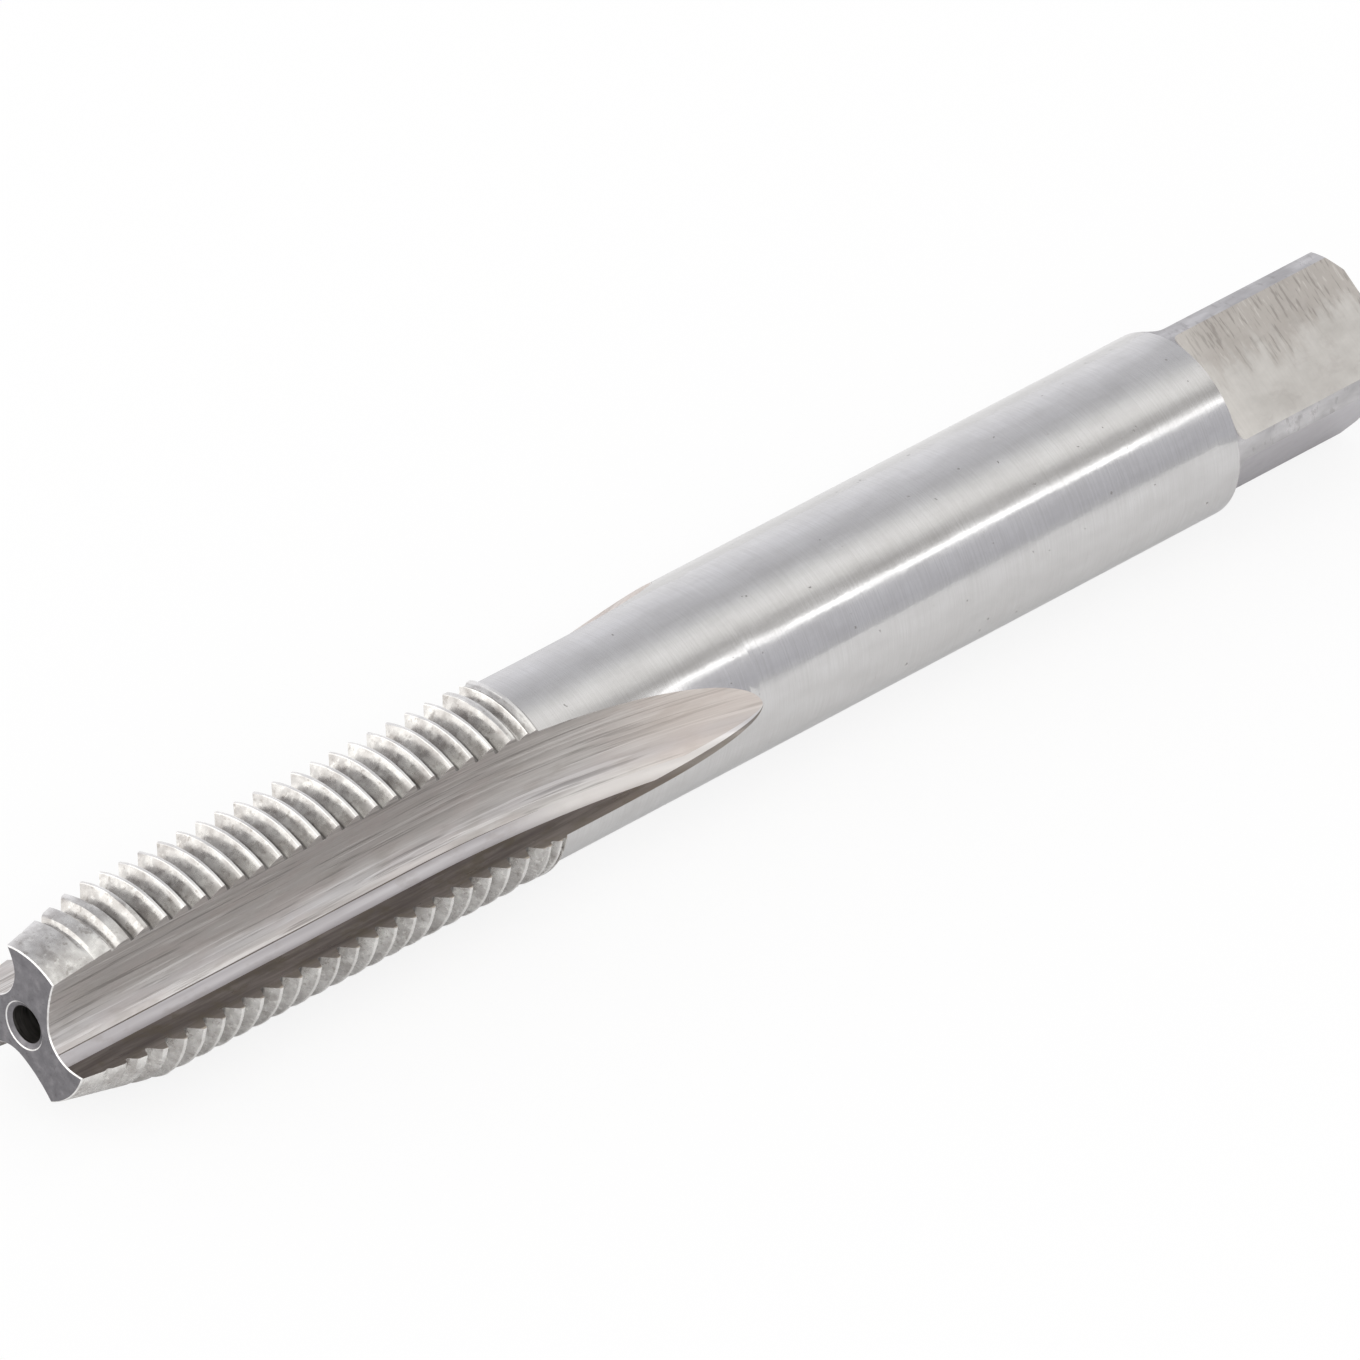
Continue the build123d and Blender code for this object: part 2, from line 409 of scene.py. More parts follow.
def add_runout(skin, prior):
    """The step behind the thread and the flutes' run-out; returns the ring at the tips."""
    # the run-out's rows draw together towards the tips
    shares = [(1 - i / RUNOUT_ROWS) ** 2 for i in range(RUNOUT_ROWS)]
    span = TIP_Z - THREAD_END - RUNOUT_FROM
    levels = [THREAD_END + past for past in STEP_ROWS] + [TIP_Z - span * f for f in shares]
    levels = np.array(levels)
    radius, theta = rings(np.repeat(levels[:, None], ROUND_COLS, axis=1))
    for i, row in enumerate(zip(radius, theta, levels)):
        ring = skin.ring(*row)
        mats = LINED + LAND_COLS if i < len(STEP_ROWS) else UNLINED + [SHANK] * N_LAND
        skin.bridge(prior, ring, mats * FLUTES)
        prior = ring
    # each flute's columns close on the run-out's tip, and the lands' columns go on
    tips = TIP_THETA + SPACING / N_LAND * np.arange(SHANK_COLS)
    tip_ring = skin.ring(SHANK_R, tips, TIP_Z)
    for k in range(FLUTES):
        low = [prior[(k * SECTOR + j) % ROUND_COLS] for j in range(SECTOR + 1)]
        high = [tip_ring[(k * N_LAND + j) % SHANK_COLS] for j in range(N_LAND + 1)]
        for j, mat in enumerate(LINED):
            skin.face((low[j], low[j + 1], high[0]), mat)
        for j in range(N_LAND):
            col = FLUTE_COLS + j
            skin.face((low[col], low[col + 1], high[j + 1], high[j]), SHANK)
    return tip_ring, tips


def half_turn(flat, reach=SHANK_R):
    """Half the angle that a flat spans on a round of radius reach."""
    return degrees(acos(flat / reach))


def square_layout(half):
    """Angles of a ring's columns where a flat spans half degrees each side of its middle."""
    angles = []
    for q in range(4):
        middle = SQUARE_ROLL + 90 * (q - 1)
        corner = 90 - 2 * half
        angles += [middle + half + corner * j / ARC_COLS for j in range(ARC_COLS)]
        angles += [middle + 90 - half + 2 * half * j / FLAT_COLS for j in range(FLAT_COLS)]
    return np.array(angles[1:] + [angles[0] + 360])


def add_square_ring(skin, prior, z, flat, reach=SHANK_R):
    """One more ring of the drive square, with its flats at distance flat from the axis."""
    half = half_turn(flat, reach)
    angles = square_layout(half)
    off = (angles - SQUARE_ROLL + 45) % 90 - 45
    straight = np.minimum(flat / np.cos(np.radians(off)), reach)
    ring = skin.ring(np.where(np.abs(off) < half + ANGLE_SLACK, straight, reach), angles, z)
    mats = ([ARC] * ARC_COLS + [FLAT] * FLAT_COLS) * 4
    skin.bridge(prior, ring, mats[1:] + mats[:1])
    return ring


def add_shank(skin, prior, tips):
    """The plain shank and the drive square; returns the ring round the rear end."""
    # the shank's columns shift round to meet the square's corners
    square = square_layout(half_turn(SQUARE_R + SHOULDER_R))
    for i in range(1, SHANK_ROWS + 1):
        f = i / SHANK_ROWS
        ring = skin.ring(SHANK_R, tips * (1 - f) + square * f, TIP_Z + (SQUARE_FROM - TIP_Z) * f)
        skin.bridge(prior, ring, SHANK)
        prior = ring
    for i in range(SHOULDER_ROWS + 1):
        turn = radians(90) * i / SHOULDER_ROWS
        z = SQUARE_FROM + SHOULDER_R * (1 - cos(turn))
        prior = add_square_ring(skin, prior, z, SQUARE_R + SHOULDER_R * (1 - sin(turn)))
    start = SQUARE_FROM + SHOULDER_R
    chamfer_from = LENGTH - END_CHAMFER
    for i in range(1, FLAT_ROWS + 1):
        z = start + (chamfer_from - start) * i / FLAT_ROWS
        prior = add_square_ring(skin, prior, z, SQUARE_R)
    for i in range(1, CHAMFER_ROWS + 1):
        inset = END_CHAMFER * i / CHAMFER_ROWS
        prior = add_square_ring(skin, prior, chamfer_from + inset, SQUARE_R, SHANK_R - inset)
    return prior


def add_rear_hole(skin, prior):
    """The rear end face and its centre hole: seat, pilot and drill point."""
    angles = skin.angles(prior)
    pilot = (REAR_RIM_R - CENTRE_R) / tan(radians(REAR_SEAT))
    for radius, depth, mat in (
        (REAR_RIM_R, 0, TIP),
        (CENTRE_R, pilot, BORE),
        (CENTRE_R, CENTRE_DEPTH, BORE),
        (POINT_R, CENTRE_DEPTH + POINT_DEPTH, BORE),
    ):
        ring = skin.ring(radius, angles, LENGTH - depth)
        skin.bridge(prior, ring, mat)
        prior = ring
    skin.face(prior, BORE)


def add_front_hole(skin):
    """The front centre hole: a rim painted bright as a highlight, seat, pilot and drill point."""
    angles = np.arange(HOLE_COLS) * 360 / HOLE_COLS
    seat = tan(radians(FRONT_SEAT))
    prior = skin.ring(FRONT_RIM_R, angles, 0)
    for radius, depth, mat in (
        (FRONT_RIM_R - HIGHLIGHT_RIM, HIGHLIGHT_RIM / seat, RIM),
        (CENTRE_R, (FRONT_RIM_R - CENTRE_R) / seat, TIP),
        (CENTRE_R, CENTRE_DEPTH, BORE),
        (POINT_R, CENTRE_DEPTH + POINT_DEPTH, BORE),
    ):
        ring = skin.ring(radius, angles, depth)
        skin.bridge(ring, prior, mat)
        prior = ring
    skin.face(reversed(prior), BORE)


def fill_front(bm):
    """Fills the front face flat between the broken edge and the hole's rim."""
    front = -LENGTH / 2 * MM
    edges = [
        e for e in bm.edges if e.is_boundary and all(abs(v.co.x - front) < MERGE for v in e.verts)
    ]
    filled = bmesh.ops.triangle_fill(bm, use_beauty=True, use_dissolve=False, edges=edges)
    for f in filled["geom"]:
        if isinstance(f, bmesh.types.BMFace):
            f.material_index = TIP


def tap_mesh():
    """The tap's whole surface as one closed mesh."""
    skin = Skin()
    thread_top = add_thread(skin)
    tip_ring, tips = add_runout(skin, thread_top)
    add_rear_hole(skin, add_shank(skin, tip_ring, tips))
    add_front_hole(skin)
    mesh = bpy.data.meshes.new("tap_body")
    mesh.from_pydata(skin.verts, [], skin.faces)
    mesh.polygons.foreach_set("material_index", skin.mats)
    bm = bmesh.new()
    bm.from_mesh(mesh)
    bmesh.ops.remove_doubles(bm, verts=bm.verts, dist=MERGE)
    bmesh.ops.dissolve_degenerate(bm, edges=bm.edges, dist=MERGE / 10)
    fill_front(bm)
    bmesh.ops.recalc_face_normals(bm, faces=bm.faces)
    print("tap mesh", sum(len(f.verts) - 2 for f in bm.faces), "triangles,",
          sum(1 for e in bm.edges if not e.is_manifold), "open edges")
    bm.to_mesh(mesh)
    bm.free()
    mesh.polygons.foreach_set("use_smooth", [True] * len(mesh.polygons))
    mesh.set_sharp_from_angle(angle=radians(SHARP_ANGLE))
    return mesh


mesh = tap_mesh()
tap = bpy.data.objects.new("tap_body", mesh)
scene.collection.objects.link(tap)


# ---- nodes ----

class Tree:
    """Adds nodes to one node tree; values are numbers, colours or other nodes' outputs."""

    def __init__(self, owner):
        owner.use_nodes = True
        self.nodes = owner.node_tree.nodes
        self.links = owner.node_tree.links

    def put(self, value, socket):
        """Gives a socket its value."""
        if isinstance(value, bpy.types.NodeSocket):
            self.links.new(value, socket)
        elif socket.type == "RGBA":
            socket.default_value = (*value, 1)
        else:
            socket.default_value = value

    def add(self, kind, inputs=None, **settings):
        """A new node of that kind, with its inputs by name or number and its settings."""
        node = self.nodes.new("ShaderNode" + kind)
        for name, value in settings.items():
            setattr(node, name, value)
        for name, value in (inputs or {}).items():
            self.put(value, node.inputs[name])
        return node

    def math(self, kind, *values):
        return self.add("Math", dict(enumerate(values)), operation=kind).outputs[0]

    def vector(self, kind, *values):
        return self.add("VectorMath", dict(enumerate(values)), operation=kind).outputs[0]

    def plus(self, value, more, times):
        """value + more * times."""
        return self.math("MULTIPLY_ADD", more, times, value)

    def span(self, value, low, high, to_low=0.0, to_high=1.0):
        """Maps value from low..high to to_low..to_high, clamped and eased."""
        inputs = {
            "Value": value, "From Min": low, "From Max": high, "To Min": to_low, "To Max": to_high,
        }
        return self.add("MapRange", inputs, interpolation_type="SMOOTHSTEP").outputs["Result"]

    def ramp(self, value, stops, interpolation="LINEAR"):
        """Colours along value, as (position, colour) pairs."""
        node = self.add("ValToRGB", {"Fac": value})
        node.color_ramp.interpolation = interpolation
        elements = node.color_ramp.elements
        elements.remove(elements[-1])
        elements[0].position = stops[0][0]
        elements[0].color = (*stops[0][1], 1)
        for position, colour in stops[1:]:
            elements.new(position).color = (*colour, 1)
        return node.outputs["Color"]

    def blend(self, share, a, b):
        """Colour a going over to b by share."""
        return self.add("MixRGB", {0: share, 1: a, 2: b}).outputs[0]


# ---- materials ----

def along(height):
    """Own x, in millimetres, of a place that far from the cutting tip."""
    return height - LENGTH / 2


class Finish(Tree):
    """Builds one steel finish, laid out in the tap's own millimetres: x runs along it."""

    def __init__(self, name):
        self.mat = bpy.data.materials.new(name)
        super().__init__(self.mat)
        self.shader = self.nodes["Principled BSDF"]
        self.shader.inputs["Metallic"].default_value = 1.0
        own = {0: self.add("TexCoord").outputs["Object"], "Scale": 1 / MM}
        self.place = self.add("VectorMath", own, operation="SCALE").outputs[0]
        self.normal = None

    @cached_property
    def x(self):
        """Distance along the tap from its middle."""
        return self.add("SeparateXYZ", {0: self.place}).outputs["X"]

    @cached_property
    def from_axis(self):
        """Where a point is, seen from the tap's axis."""
        return self.vector("SUBTRACT", self.place, (0, 0, SHANK_R))

    @cached_property
    def reach(self):
        """Distance from the tap's axis."""
        flat = self.vector("MULTIPLY", self.from_axis, (0, 1, 1))
        return self.add("VectorMath", {0: flat}, operation="LENGTH").outputs["Value"]

    def in_flute(self):
        """A place in the flutes: along the tap, across the flute, and a number for each flute.

        The wheel drew each streak at one distance across, even where it rises in the run-out.
        """
        around = self.add("SeparateXYZ", {0: self.from_axis})
        turn = self.math("ARCTAN2", around.outputs["Z"], around.outputs["Y"])
        turn = self.math("SUBTRACT", turn, radians(LYING_ROLL))
        sector = self.math("DIVIDE", turn, radians(SPACING))
        flute = self.math("ROUND", sector)
        off = self.math("MULTIPLY", self.math("SUBTRACT", sector, flute), radians(SPACING))
        across = self.math("MULTIPLY", self.reach, self.math("SINE", off))
        return self.add("CombineXYZ", {"X": self.x, "Y": across, "Z": flute}).outputs[0]

    def noise(self, cells, detail=3, rough=0.55, warp=0, shift=0, place=None):
        """Noise with that many cells a millimetre along each axis."""
        moved = (shift, shift * 0.7, shift * 1.3)
        inputs = {
            "Vector": self.vector("MULTIPLY_ADD", place or self.place, cells, moved),
            "Scale": 1, "Detail": detail, "Roughness": rough, "Distortion": warp,
        }
        return self.add("TexNoise", inputs).outputs["Fac"]

    def swing(self, noise, size):
        """Noise turned into an offset of about half that size either way."""
        return self.math("MULTIPLY", self.math("SUBTRACT", noise, 0.5), size)

    def stain_and_painted_light(self, tone, where, share, colour):
        """Colours tone where the mask is 1, by that share: real marks, and also painted highlights
        and painted shade.
        """
        return self.blend(self.math("MULTIPLY", where, share), tone, colour)

    def bump(self, height, depth):
        """Adds a relief of that many millimetres."""
        inputs = {"Strength": 1, "Distance": depth * MM, "Height": height}
        if self.normal is not None:
            inputs["Normal"] = self.normal
        self.normal = self.add("Bump", inputs).outputs["Normal"]

    def done(self, colour, roughness):
        """Joins the finish to its shader and the mesh."""
        for name, value in (
            ("Base Color", colour), ("Roughness", roughness), ("Normal", self.normal),
        ):
            self.put(value, self.shader.inputs[name])
        mesh.materials.append(self.mat)


def shank_finish():
    """Ground and polished: faint mottling, fine rings round it, tiny dark specks."""
    look = Finish("shank_ground_steel")
    tone = look.ramp(look.noise((0.5, 1.1, 1.1), 5, 0.6), (
        (0.3, (0.575, 0.568, 0.565)), (0.5, (0.615, 0.608, 0.606)), (0.7, (0.645, 0.64, 0.64)),
    ))
    ringed = look.noise((22, 0.5, 0.5), 2, shift=3)
    tone = look.blend(look.span(ringed, 0.35, 0.7, 0, 0.35), tone, (0.5, 0.49, 0.48))
    speck = look.span(look.noise((3.2, 3.2, 3.2), 1, shift=11), 0.765, 0.80)
    tone = look.stain_and_painted_light(tone, speck, 0.55, (0.14, 0.13, 0.12))
    rough = look.span(look.noise((0.25, 2.2, 2.2), shift=7), 0.3, 0.75, 0.11, 0.21)
    look.bump(look.noise((1.2, 1.2, 1.2), shift=5), 0.006)
    look.bump(ringed, 0.0006)
    look.bump(look.noise((60, 1.5, 1.5), 2, shift=17), 0.00025)
    look.done(tone, look.plus(rough, speck, 0.25))


def thread_finish():
    """Ground thread: mottled flanks, a painted highlight along the crests and painted shade down
    in the roots.
    """
    look = Finish("thread_ground_steel")
    tone = look.ramp(look.noise((1.6, 1.0, 1.0), 4, 0.6), (
        (0.32, (0.40, 0.38, 0.365)), (0.5, (0.54, 0.525, 0.51)), (0.66, (0.68, 0.67, 0.65)),
    ))
    spot = look.span(look.noise((3.6, 3.6, 3.6), 3, 0.6, shift=9), 0.56, 0.70)
    tone = look.stain_and_painted_light(tone, spot, 0.5, (0.24, 0.215, 0.195))
    pale = look.span(look.noise((2.6, 2.6, 2.6), 3, 0.6, shift=23), 0.56, 0.68)
    tone = look.stain_and_painted_light(tone, pale, 0.45, (0.86, 0.85, 0.82))
    # depth under the crests, or under the cone of the lead
    cone = look.math("MULTIPLY", look.math("SUBTRACT", look.x, along(0)), LEAD_SLOPE)
    outer = look.math("MINIMUM", look.math("ADD", cone, LEAD_TIP_R), CREST_R)
    depth = look.math("SUBTRACT", outer, look.reach)
    uneven = look.swing(look.noise((2, 2, 2), shift=4), 0.3)
    # painted shade: the flanks darken down into the roots, where the groove's own shade falls
    root = look.span(look.plus(depth, uneven, 0.4), 0.55, 0.65)
    tone = look.stain_and_painted_light(tone, root, 0.7, (0.10, 0.092, 0.088))
    # painted highlight: a bright line along each crest
    crest = look.span(look.plus(depth, uneven, 0.15), 0.02, 0.06, 1, 0)
    tone = look.stain_and_painted_light(tone, crest, 0.6, (0.90, 0.89, 0.87))
    rough = look.span(look.noise((3, 3, 3), shift=2), 0.3, 0.7, 0.18, 0.36)
    look.bump(look.noise((5, 2, 2), shift=8), 0.005)
    look.bump(look.noise((1.5, 0.9, 0.9), 2, shift=1), 0.02)
    look.done(tone, look.plus(rough, root, 0.15))


def flute_finish():
    """Ground floor of the flutes: long soft streaks and stains along the grinding."""
    look = Finish("flute_ground_steel")
    here = look.in_flute()
    streak = look.noise((0.11, 2.6, 5), 4, 0.6, place=here)
    tone = look.ramp(streak, (
        (0.3, (0.46, 0.435, 0.415)), (0.5, (0.585, 0.56, 0.54)), (0.7, (0.71, 0.69, 0.67)),
    ))
    patch = look.noise((0.4, 1.0, 1.0), 4, 0.6, shift=6)
    tone = look.blend(look.span(patch, 0.42, 0.68, 0, 0.5), tone, (0.60, 0.545, 0.525))
    dull = look.span(look.noise((0.4, 1.4, 5), 4, 0.6, shift=13, place=here), 0.5, 0.7)
    tone = look.stain_and_painted_light(tone, dull, 0.35, (0.42, 0.385, 0.35))
    dark_line = look.span(look.noise((0.2, 6.5, 5), 2, 0.5, shift=31, place=here), 0.56, 0.66)
    tone = look.stain_and_painted_light(tone, dark_line, 0.55, (0.24, 0.22, 0.21))
    bright = look.span(look.noise((0.16, 6, 5), 2, 0.5, shift=47, place=here), 0.56, 0.66)
    tone = look.stain_and_painted_light(tone, bright, 0.45, (0.88, 0.86, 0.84))
    fine = look.noise((0.4, 15, 5), shift=3, place=here)
    tone = look.blend(look.span(fine, 0.4, 0.7, 0, 0.2), tone, (0.8, 0.78, 0.76))
    peach = look.span(look.x, along(STRAIGHT + 8), along(FLUTE_END - 3), 0, 0.45)
    tone = look.blend(peach, tone, (0.78, 0.69, 0.63))
    rough = look.span(streak, 0.3, 0.7, 0.52, 0.40)
    look.bump(streak, 0.010)
    look.bump(look.math("SUBTRACT", bright, dark_line), 0.003)
    look.bump(look.noise((0.6, 1.8, 1.8), shift=21), 0.004)
    look.done(tone, look.plus(rough, dull, 0.08))


def fillet_finish():
    """The brighter band where the wheel's nose ran, between the floor and the cutting face."""
    look = Finish("flute_fillet_steel")
    here = look.in_flute()
    streak = look.noise((0.07, 4, 5), shift=5, place=here)
    tone = look.ramp(streak, (
        (0.3, (0.44, 0.42, 0.435)), (0.5, (0.53, 0.51, 0.525)), (0.7, (0.62, 0.605, 0.62)),
    ))
    patch = look.span(look.noise((0.8, 1.6, 1.6), 4, 0.6, shift=2), 0.5, 0.7, 0, 0.5)
    tone = look.blend(patch, tone, (0.40, 0.37, 0.365))
    runout = look.span(look.x, along(STRAIGHT + 3), along(FLUTE_END - 8), 0, 0.7)
    tone = look.blend(runout, tone, (0.86, 0.83, 0.80))
    rough = look.span(look.noise((0.4, 5, 5), shift=8, place=here), 0.3, 0.7, 0.30, 0.42)
    look.bump(streak, 0.006)
    look.bump(look.noise((0.4, 18, 5), 2, shift=4, place=here), 0.0015)
    look.done(tone, rough)


def face_finish():
    """Cutting face: painted dark for the shade it lies in, with brown and olive tarnish in
    patches, lighter out towards the teeth, and painted glints on the tooth tips.
    """
    look = Finish("cutting_face_steel")
    streak = look.noise((0.25, 3.5, 3.5), 4, 0.6)
    # painted shade: the face's tone is kept dark for the shade it lies in
    tone = look.ramp(streak, (
        (0.3, (0.12, 0.105, 0.10)), (0.5, (0.175, 0.155, 0.145)), (0.7, (0.26, 0.235, 0.22)),
    ))
    patch = look.span(look.noise((0.8, 1.3, 1.3), 4, 0.65, shift=4), 0.45, 0.65)
    tone = look.stain_and_painted_light(tone, patch, 0.6, (0.15, 0.13, 0.095))
    # painted shade: lighter out towards the teeth than deep in the flute
    tone = look.blend(look.span(look.reach, 3.35, 4.1, 0, 0.55), tone, (0.40, 0.365, 0.33))
    # painted highlight: bright glints along the tooth tips
    painted_tooth_glint = look.span(look.plus(look.reach, patch, 0.06), 4.06, 4.18, 0, 0.75)
    tone = look.blend(painted_tooth_glint, tone, (0.86, 0.79, 0.68))
    rough = look.span(look.noise((0.6, 4, 4), shift=9), 0.3, 0.7, 0.27, 0.42)
    look.bump(streak, 0.006)
    look.bump(look.noise((2, 9, 9), shift=3), 0.003)
    look.done(tone, rough)


def tip_finish():
    """Front face: dull satin grey, faintly turned."""
    look = Finish("tip_satin_steel")
    tone = look.ramp(look.noise((1.5, 2.4, 2.4), 5, 0.6), (
        (0.3, (0.165, 0.16, 0.17)), (0.55, (0.215, 0.208, 0.22)), (0.75, (0.28, 0.27, 0.28)),
    ))
    speck = look.span(look.noise((9, 9, 9), 2, shift=3), 0.6, 0.72)
    tone = look.stain_and_painted_light(tone, speck, 0.4, (0.10, 0.095, 0.09))
    rough = look.span(look.noise((3, 3, 3), shift=6), 0.3, 0.7, 0.36, 0.5)
    look.bump(look.noise((8, 8, 8), shift=5), 0.004)
    look.bump(look.noise((1, 2, 24), 2, shift=2), 0.0015)
    look.done(tone, rough)


def square_finish():
    """Milled flats of the drive square: smudged, with scratches across their upper half."""
    look = Finish("square_milled_steel")
    cloud = look.noise((0.4, 0.6, 0.6), 4, 0.6)
    tone = look.ramp(cloud, (
        (0.3, (0.52, 0.50, 0.475)), (0.5, (0.60, 0.58, 0.555)), (0.7, (0.68, 0.66, 0.635)),
    ))
    smudge = look.span(look.noise((0.9, 1.2, 1.2), 4, 0.65, warp=0.4, shift=5), 0.5, 0.7)
    tone = look.stain_and_painted_light(tone, smudge, 0.35, (0.45, 0.42, 0.40))
    # how far up the flat that faces the light
    slant = radians(SQUARE_ROLL + LYING_ROLL - 180)
    uphill = {0: look.from_axis, 1: (0, cos(slant), sin(slant))}
    across = look.add("VectorMath", uphill, operation="DOT_PRODUCT").outputs["Value"]
    ragged = look.swing(look.noise((2.2, 0.6, 0.6), shift=12), 5)
    upper = look.span(look.math("ADD", across, ragged), -0.4, 1.2)
    tone = look.stain_and_painted_light(tone, upper, 0.5, (0.40, 0.36, 0.33))
    mark = look.noise((7, 0.9, 0.9), shift=8)
    dark = look.math("MULTIPLY", look.span(mark, 0.54, 0.64), upper)
    tone = look.stain_and_painted_light(tone, dark, 0.45, (0.20, 0.18, 0.165))
    pale = look.math("MULTIPLY", look.span(mark, 0.40, 0.33), upper)
    tone = look.stain_and_painted_light(tone, pale, 0.25, (0.88, 0.86, 0.83))
    shoulder = look.span(look.x, along(SQUARE_FROM + 2.2), along(SQUARE_FROM + 0.2), 0, 0.35)
    tone = look.blend(shoulder, tone, (0.80, 0.77, 0.73))
    # painted reflection: the flat that faces down and forward is tinted a bluer grey for what it
    # mirrors
    tone = look.blend(look.span(across, -2.85, -3.05), tone, (0.50, 0.485, 0.505))
    mill = look.noise((12, 0.6, 0.6), 2, shift=2)
    tone = look.blend(look.span(mill, 0.4, 0.7, 0, 0.12), tone, (0.48, 0.46, 0.44))
    rough = look.span(cloud, 0.3, 0.7, 0.42, 0.32)
    look.bump(mill, 0.0012)
    look.bump(look.math("MULTIPLY", mark, upper), 0.01)
    look.bump(look.noise((1.2, 1.0, 1.0), shift=4), 0.012)
    look.done(tone, look.plus(rough, smudge, 0.08))


def arc_finish():
    """The square's rounded corners: what is left of the shank, rubbed dull by the wrench."""
    look = Finish("square_corner_steel")
    cloud = look.noise((0.5, 1.2, 1.2), shift=3)
    tone = look.ramp(cloud, (
        (0.32, (0.40, 0.39, 0.395)), (0.5, (0.48, 0.47, 0.475)), (0.68, (0.58, 0.57, 0.575)),
    ))
    scuff = look.span(look.noise((3.5, 1.5, 1.5), 4, 0.65, shift=9), 0.54, 0.68)
    tone = look.stain_and_painted_light(tone, scuff, 0.35, (0.22, 0.205, 0.20))
    look.bump(look.noise((1.5, 1.5, 1.5), shift=6), 0.012)
    look.done(tone, look.span(cloud, 0.3, 0.7, 0.42, 0.26))


def bore_finish():
    """Inside of the centre holes: painted dark as the shade down in them, with turning marks."""
    look = Finish("centre_hole_steel")
    turned = look.noise((16, 1, 1))
    tone = look.ramp(turned, ((0.3, (0.10, 0.095, 0.09)), (0.7, (0.22, 0.21, 0.2))))
    look.bump(turned, 0.01)
    look.done(tone, look.span(turned, 0.3, 0.7, 0.4, 0.6))


def rim_finish():
    """Broken edges of the front face and its hole, painted bright as the highlight they catch."""
    look = Finish("edge_highlight_steel")
    cloud = look.noise((3, 3, 3), 4, 0.6)
    tone = look.ramp(cloud, ((0.3, (0.62, 0.61, 0.60)), (0.6, (0.86, 0.85, 0.84))))
    look.bump(look.noise((8, 8, 8), 2, shift=2), 0.004)
    look.done(tone, look.span(cloud, 0.3, 0.7, 0.4, 0.22))


# in the order of the finishes' numbers
for make in (
    shank_finish, thread_finish, flute_finish, fillet_finish, face_finish,
    tip_finish, square_finish, bore_finish, rim_finish, arc_finish,
):
    make()

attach(tap, "root")
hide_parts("tap")

# ---- stage ----
WHITE = (1, 1, 1)
FLOOR_HALF = 3.0           # metres
FLOOR_GREY = 0.9
FLOOR_ROUGH = 0.9
SEEN_GLOW = 0.85           # share of plain white that the camera sees in the floor,
MIRRORED_GLOW = 0.15       # and that the steel sees

floor_mesh = bpy.data.meshes.new("floor")
corners = [(x * FLOOR_HALF, y * FLOOR_HALF, 0) for x, y in ((-1, -1), (1, -1), (1, 1), (-1, 1))]
floor_mesh.from_pydata(corners, [], [(0, 1, 2, 3)])
floor = bpy.data.objects.new("floor", floor_mesh)
scene.collection.objects.link(floor)
floor_mat = bpy.data.materials.new("floor_white")
board = Tree(floor_mat)
paper = board.nodes["Principled BSDF"]
board.put((FLOOR_GREY,) * 3, paper.inputs["Base Color"])
board.put(FLOOR_ROUGH, paper.inputs["Roughness"])
glow = board.add("Emission", {"Color": WHITE, "Strength": 1})
rays = board.add("LightPath")
seen = board.math("MULTIPLY", rays.outputs["Is Camera Ray"], SEEN_GLOW)
seen = board.plus(seen, rays.outputs["Is Glossy Ray"], MIRRORED_GLOW)
surface = board.add("MixShader", {0: seen, 1: paper.outputs[0], 2: glow.outputs[0]})
board.put(surface.outputs[0], board.nodes["Material Output"].inputs["Surface"])
floor_mesh.materials.append(floor_mat)

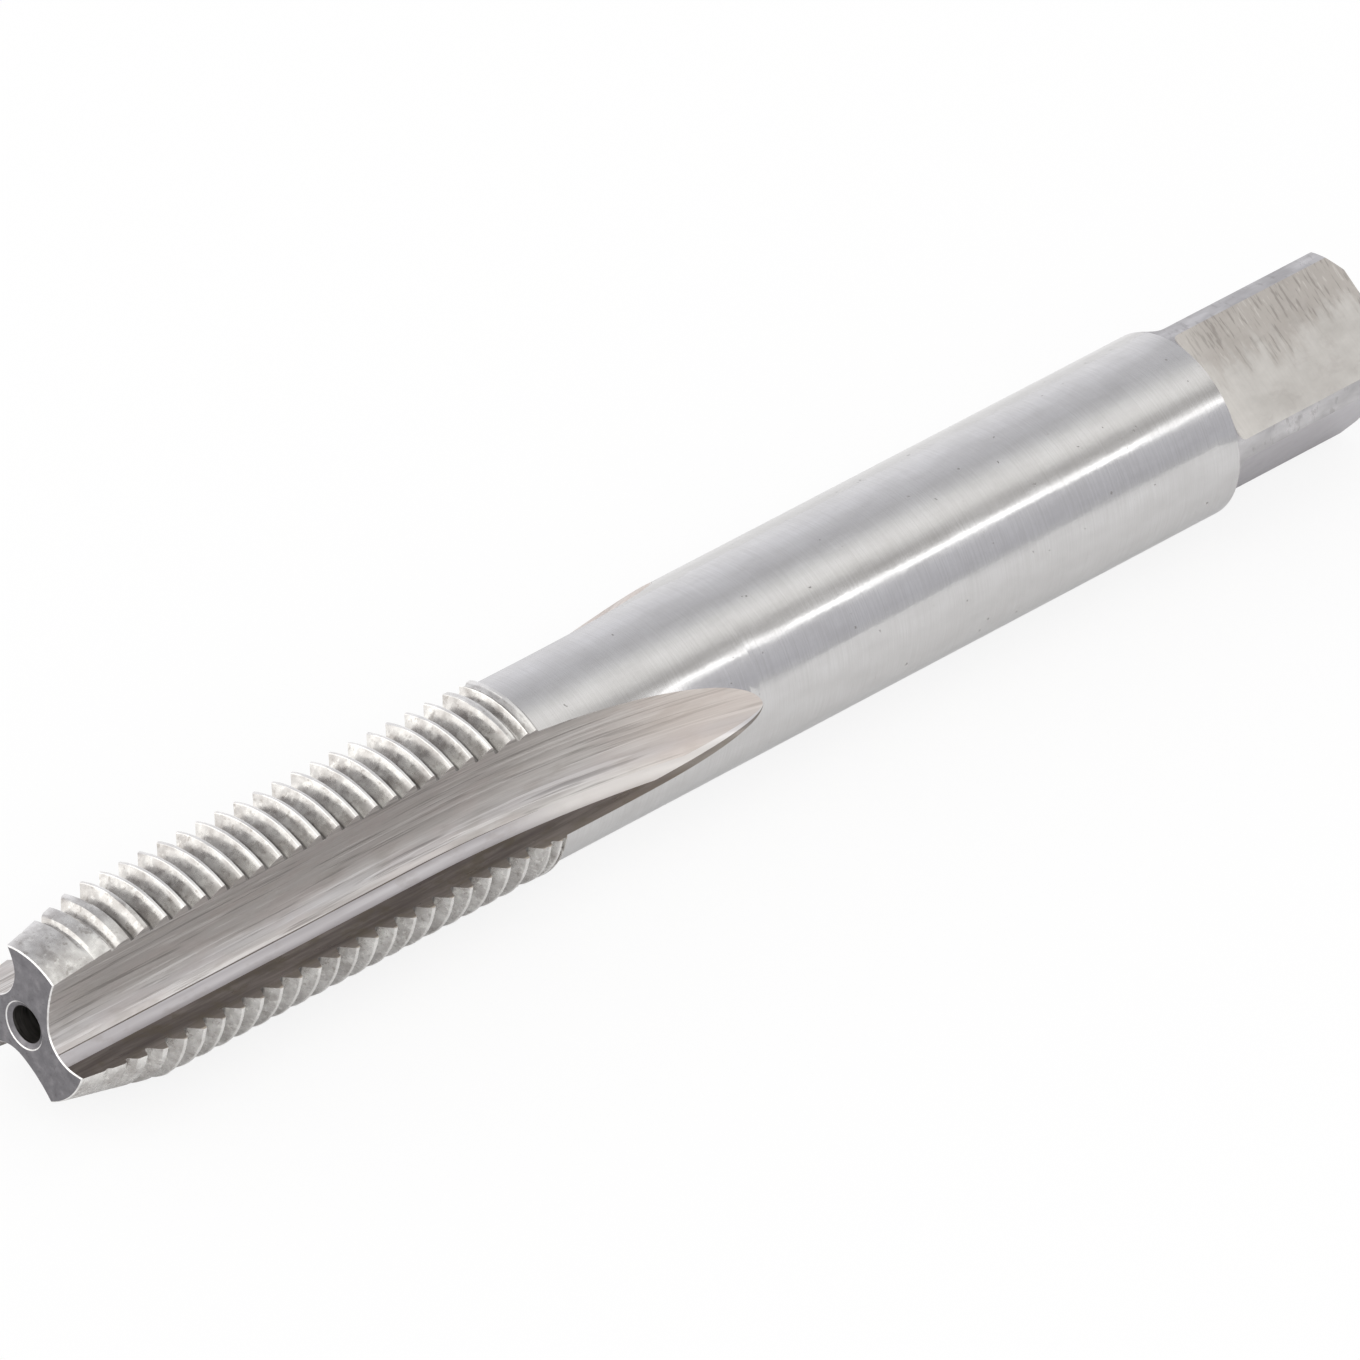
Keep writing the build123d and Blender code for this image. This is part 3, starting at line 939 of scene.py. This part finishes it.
# light by its angle round the tap's length: 0 from the front, 90 from above, 180 from behind
BANDS = (
    (-180, (0.62, 0.62, 0.63)), (-84, (0.68, 0.68, 0.69)), (-4, (0.70, 0.70, 0.71)),
    (12, (0.64, 0.64, 0.675)), (26, (0.69, 0.69, 0.725)), (33, (0.73, 0.73, 0.765)),
    (39.5, (0.77, 0.77, 0.80)), (41.8, (0.86, 0.86, 0.88)), (44.2, (2.3, 2.3, 2.3)),
    (48.4, (2.3, 2.3, 2.3)), (50.2, (0.85, 0.84, 0.83)), (53, (0.77, 0.76, 0.75)),
    (59.6, (0.62, 0.61, 0.60)), (66, (0.75, 0.74, 0.73)), (72, (1.01, 1.00, 0.98)),
    (80, (1.14, 1.13, 1.11)), (86, (1.13, 1.12, 1.11)), (94, (1.02, 1.02, 1.01)),
    (101, (0.88, 0.88, 0.89)), (108, (0.75, 0.75, 0.77)), (116, (0.68, 0.68, 0.70)),
    (125, (0.72, 0.72, 0.75)), (134, (0.79, 0.79, 0.82)), (154, (0.97, 0.97, 1.01)),
    (166, (1.04, 1.04, 1.07)), (180, (1.06, 1.06, 1.09)),
)
# a brighter card past the cutting end lights what faces that way
CARD = (1.75, 1.73, 1.70)
CARD_FROM, CARD_FULL = -0.3, -0.6

scene.world = bpy.data.worlds.new("studio")
sky = Tree(scene.world)
toward = sky.add("SeparateXYZ", {0: sky.add("TexCoord").outputs["Generated"]}).outputs
around = sky.math("ARCTAN2", toward["Z"], sky.math("MULTIPLY", toward["Y"], -1))
share = sky.add("MapRange", {"Value": around, "From Min": -pi, "From Max": pi})
stops = [((turn + 180) / 360, colour) for turn, colour in BANDS]
bands = sky.ramp(share.outputs["Result"], stops, "EASE")
lit = sky.blend(sky.span(toward["X"], CARD_FROM, CARD_FULL), bands, CARD)
camera_ray = sky.add("LightPath").outputs["Is Camera Ray"]
sky.put(sky.blend(camera_ray, lit, WHITE), sky.nodes["Background"].inputs["Color"])

# ---- camera: at the photograph's angle ----
AZ, EL, CAMERA_ROLL = radians(-46.614), radians(37.709), radians(5.225)
FOCAL_PX = 26.11 * 798.0
IMAGE = 1360
TIP_SEEN = (23.9, 1025.8)  # where the middle of the tip shows, in the photograph's pixels
TIP_DEPTH = 0.798          # metres
SENSOR = 36.0

toward_eye = Vector((sin(AZ) * cos(EL), -cos(AZ) * cos(EL), sin(EL)))
level = Vector((cos(AZ), sin(AZ), 0))
right = level * cos(CAMERA_ROLL) + toward_eye.cross(level) * sin(CAMERA_ROLL)
up = toward_eye.cross(right)
tip = Vector((-LENGTH / 2 * MM, 0, SHANK_R * MM))
aside, below = ((pixel - IMAGE / 2) / FOCAL_PX * TIP_DEPTH for pixel in TIP_SEEN)
camera = bpy.data.cameras.new("camera")
camera.sensor_width = SENSOR
camera.lens = FOCAL_PX / IMAGE * SENSOR
camera.clip_start = 0.05
camera.clip_end = 20
eye = bpy.data.objects.new("camera", camera)
scene.collection.objects.link(eye)
eye.location = tip - right * aside + up * below + toward_eye * TIP_DEPTH
eye.rotation_euler = Matrix((right, up, toward_eye)).transposed().to_euler()
scene.camera = eye
